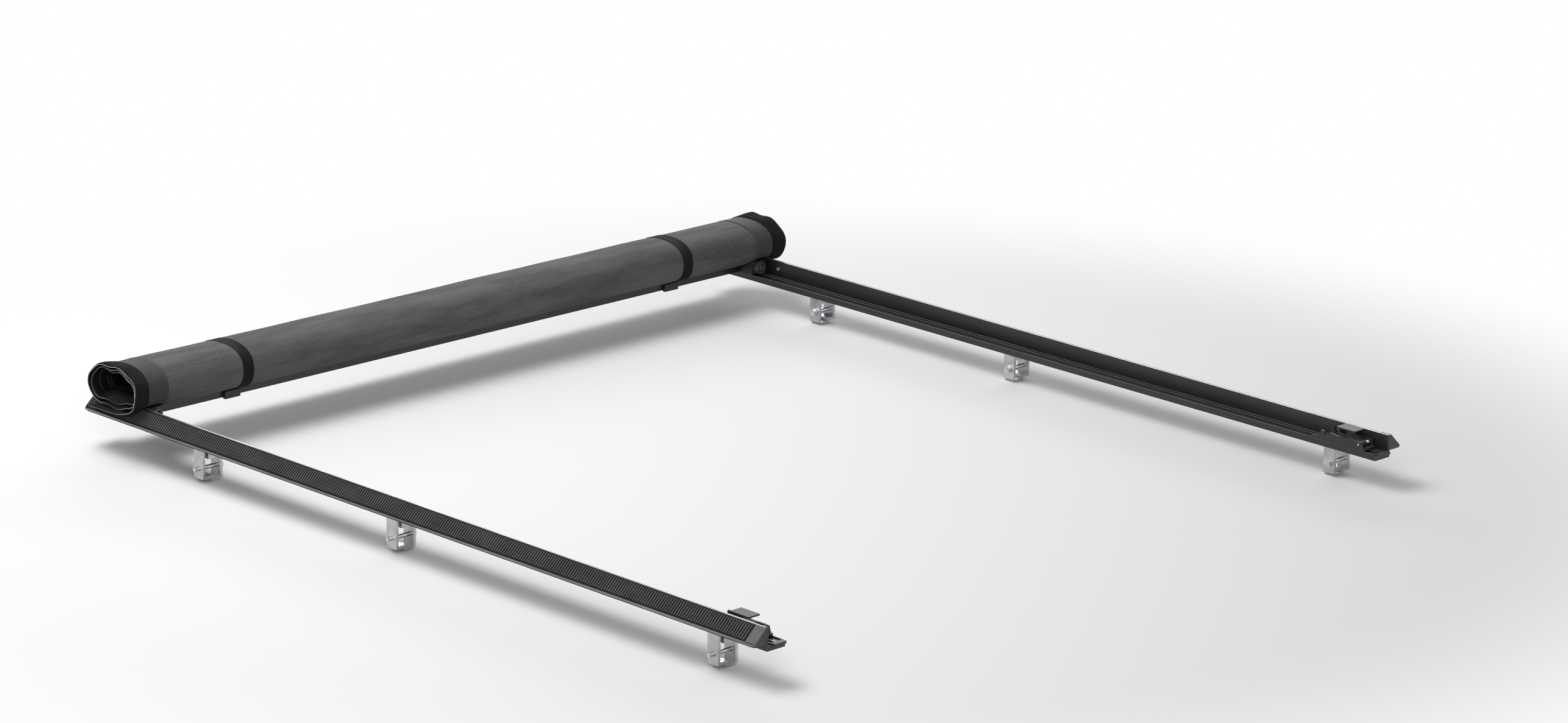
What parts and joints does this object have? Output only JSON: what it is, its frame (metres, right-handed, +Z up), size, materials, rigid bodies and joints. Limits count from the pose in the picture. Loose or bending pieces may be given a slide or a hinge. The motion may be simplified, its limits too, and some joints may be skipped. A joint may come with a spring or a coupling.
{
  "type": "roll-up tonneau cover",
  "caption": "Soft roll-up truck bed cover, rolled up at the cab end: clamped side rails, header rail, tension adjusters, roll straps and sprung rear latches.",
  "frame": {"origin": "midway between the rails and midway along them, on the plane through the feet of the bed clamps", "axes": "+X to the right of the truck, +Y towards the cab, +Z up"},
  "size_m": [1.6692, 1.7624, 0.1719],
  "materials": {
    "rail": "satin black powder coat on aluminium extrusion",
    "hook_tape": "ribbed hook tape",
    "seal_foam": "closed cell foam",
    "moulded_plastic": "fine grain moulded",
    "zinc_steel": "bright zinc plate",
    "aluminium": "mill finish extrusion",
    "tarp": "coated fabric with fine ribs",
    "webbing": "flat woven webbing"
  },
  "bodies": {
    "rails": {"rail_left": "rail", "hook_strip_left": "hook_tape", "rail_seal_left": "seal_foam", "rail_end_cap_left": "moulded_plastic", "stop_screw_left": "zinc_steel", "tension_block_left": "moulded_plastic", "latch_base_left": "moulded_plastic", "latch_pin_left": "zinc_steel", "latch_spring_left": "zinc_steel", "clamp_body_left_1": "aluminium", "clamp_body_left_2": "aluminium", "clamp_body_left_3": "aluminium", "rail_right": "rail", "hook_strip_right": "hook_tape", "rail_seal_right": "seal_foam", "rail_end_cap_right": "moulded_plastic", "stop_screw_right": "zinc_steel", "tension_block_right": "moulded_plastic", "latch_base_right": "moulded_plastic", "latch_pin_right": "zinc_steel", "latch_spring_right": "zinc_steel", "clamp_body_right_1": "aluminium", "clamp_body_right_2": "aluminium", "clamp_body_right_3": "aluminium"},
    "header": {"header_rail": "rail", "header_seal": "seal_foam", "header_corner_left": "moulded_plastic", "roll_strap_left": "webbing", "strap_rivet_left": "zinc_steel", "strap_buckle_left": "moulded_plastic", "rear_bar_plug_left": "moulded_plastic", "header_corner_right": "moulded_plastic", "roll_strap_right": "webbing", "strap_rivet_right": "zinc_steel", "strap_buckle_right": "moulded_plastic", "rear_bar_plug_right": "moulded_plastic", "tarp_roll": "tarp", "rear_bar": "rail", "cross_bow_1": "aluminium", "cross_bow_2": "aluminium", "cross_bow_3": "aluminium"},
    "tension_adjuster_left": {"tension_screw_left": "zinc_steel", "tension_knob_left": "moulded_plastic"},
    "tension_adjuster_right": {"tension_screw_right": "zinc_steel", "tension_knob_right": "moulded_plastic"},
    "latch_lever_left": {"latch_lever_left": "moulded_plastic"},
    "latch_lever_right": {"latch_lever_right": "moulded_plastic"},
    "clamp_jaw_left_1": {"clamp_jaw_left_1": "aluminium"},
    "clamp_bolt_left_1": {"clamp_bolt_left_1": "zinc_steel"},
    "clamp_jaw_left_2": {"clamp_jaw_left_2": "aluminium"},
    "clamp_bolt_left_2": {"clamp_bolt_left_2": "zinc_steel"},
    "clamp_jaw_left_3": {"clamp_jaw_left_3": "aluminium"},
    "clamp_bolt_left_3": {"clamp_bolt_left_3": "zinc_steel"},
    "clamp_jaw_right_1": {"clamp_jaw_right_1": "aluminium"},
    "clamp_bolt_right_1": {"clamp_bolt_right_1": "zinc_steel"},
    "clamp_jaw_right_2": {"clamp_jaw_right_2": "aluminium"},
    "clamp_bolt_right_2": {"clamp_bolt_right_2": "zinc_steel"},
    "clamp_jaw_right_3": {"clamp_jaw_right_3": "aluminium"},
    "clamp_bolt_right_3": {"clamp_bolt_right_3": "zinc_steel"}
  },
  "joints": [
    {"name": "header_slide", "type": "slide", "parent": "rails", "child": "header", "axis": [0, 1, 0], "range_m": [0, 0.01]},
    {"name": "tension_knob_left_spin", "type": "hinge", "parent": "rails", "child": "tension_adjuster_left", "pos_m": [-0.776, 0.738, 0.081], "axis": [0, 1, 0], "range_deg": [-2890, 0]},
    {"name": "tension_knob_right_spin", "type": "hinge", "parent": "rails", "child": "tension_adjuster_right", "pos_m": [0.776, 0.738, 0.081], "axis": [0, 1, 0], "range_deg": [-2890, 0]},
    {"name": "latch_lever_left_hinge", "type": "hinge", "parent": "rails", "child": "latch_lever_left", "pos_m": [-0.777, -0.83085, 0.0778], "axis": [1, 0, 0], "range_deg": [0, 55], "stiffness_Nm_per_rad": 0.05, "springref_deg": -20.05},
    {"name": "latch_lever_right_hinge", "type": "hinge", "parent": "rails", "child": "latch_lever_right", "pos_m": [0.777, -0.83085, 0.0778], "axis": [1, 0, 0], "range_deg": [0, 55], "stiffness_Nm_per_rad": 0.05, "springref_deg": -20.05},
    {"name": "clamp_jaw_left_1_slide", "type": "slide", "parent": "rails", "child": "clamp_jaw_left_1", "axis": [-1, 0, 0], "range_m": [0, 0.008]},
    {"name": "clamp_bolt_left_1_spin", "type": "hinge", "parent": "rails", "child": "clamp_bolt_left_1", "pos_m": [-0.79, 0.57115, 0.025], "axis": [-1, 0, 0], "range_deg": [-2310, 0]},
    {"name": "clamp_jaw_left_2_slide", "type": "slide", "parent": "rails", "child": "clamp_jaw_left_2", "axis": [-1, 0, 0], "range_m": [0, 0.008]},
    {"name": "clamp_bolt_left_2_spin", "type": "hinge", "parent": "rails", "child": "clamp_bolt_left_2", "pos_m": [-0.79, 0.04115, 0.025], "axis": [-1, 0, 0], "range_deg": [-2310, 0]},
    {"name": "clamp_jaw_left_3_slide", "type": "slide", "parent": "rails", "child": "clamp_jaw_left_3", "axis": [-1, 0, 0], "range_m": [0, 0.008]},
    {"name": "clamp_bolt_left_3_spin", "type": "hinge", "parent": "rails", "child": "clamp_bolt_left_3", "pos_m": [-0.79, -0.75885, 0.025], "axis": [-1, 0, 0], "range_deg": [-2310, 0]},
    {"name": "clamp_jaw_right_1_slide", "type": "slide", "parent": "rails", "child": "clamp_jaw_right_1", "axis": [1, 0, 0], "range_m": [0, 0.008]},
    {"name": "clamp_bolt_right_1_spin", "type": "hinge", "parent": "rails", "child": "clamp_bolt_right_1", "pos_m": [0.79, 0.57115, 0.025], "axis": [1, 0, 0], "range_deg": [-2310, 0]},
    {"name": "clamp_jaw_right_2_slide", "type": "slide", "parent": "rails", "child": "clamp_jaw_right_2", "axis": [1, 0, 0], "range_m": [0, 0.008]},
    {"name": "clamp_bolt_right_2_spin", "type": "hinge", "parent": "rails", "child": "clamp_bolt_right_2", "pos_m": [0.79, 0.04115, 0.025], "axis": [1, 0, 0], "range_deg": [-2310, 0]},
    {"name": "clamp_jaw_right_3_slide", "type": "slide", "parent": "rails", "child": "clamp_jaw_right_3", "axis": [1, 0, 0], "range_m": [0, 0.008]},
    {"name": "clamp_bolt_right_3_spin", "type": "hinge", "parent": "rails", "child": "clamp_bolt_right_3", "pos_m": [0.79, -0.75885, 0.025], "axis": [1, 0, 0], "range_deg": [-2310, 0]}
  ],
  "couplings": [
    {"joint": "tension_knob_left_spin", "follows": "header_slide", "rad_per_m": -5026.5},
    {"joint": "tension_knob_right_spin", "follows": "header_slide", "rad_per_m": -5026.5},
    {"joint": "clamp_bolt_left_1_spin", "follows": "clamp_jaw_left_1_slide", "rad_per_m": -5026.5},
    {"joint": "clamp_bolt_left_2_spin", "follows": "clamp_jaw_left_2_slide", "rad_per_m": -5026.5},
    {"joint": "clamp_bolt_left_3_spin", "follows": "clamp_jaw_left_3_slide", "rad_per_m": -5026.5},
    {"joint": "clamp_bolt_right_1_spin", "follows": "clamp_jaw_right_1_slide", "rad_per_m": -5026.5},
    {"joint": "clamp_bolt_right_2_spin", "follows": "clamp_jaw_right_2_slide", "rad_per_m": -5026.5},
    {"joint": "clamp_bolt_right_3_spin", "follows": "clamp_jaw_right_3_slide", "rad_per_m": -5026.5}
  ]
}
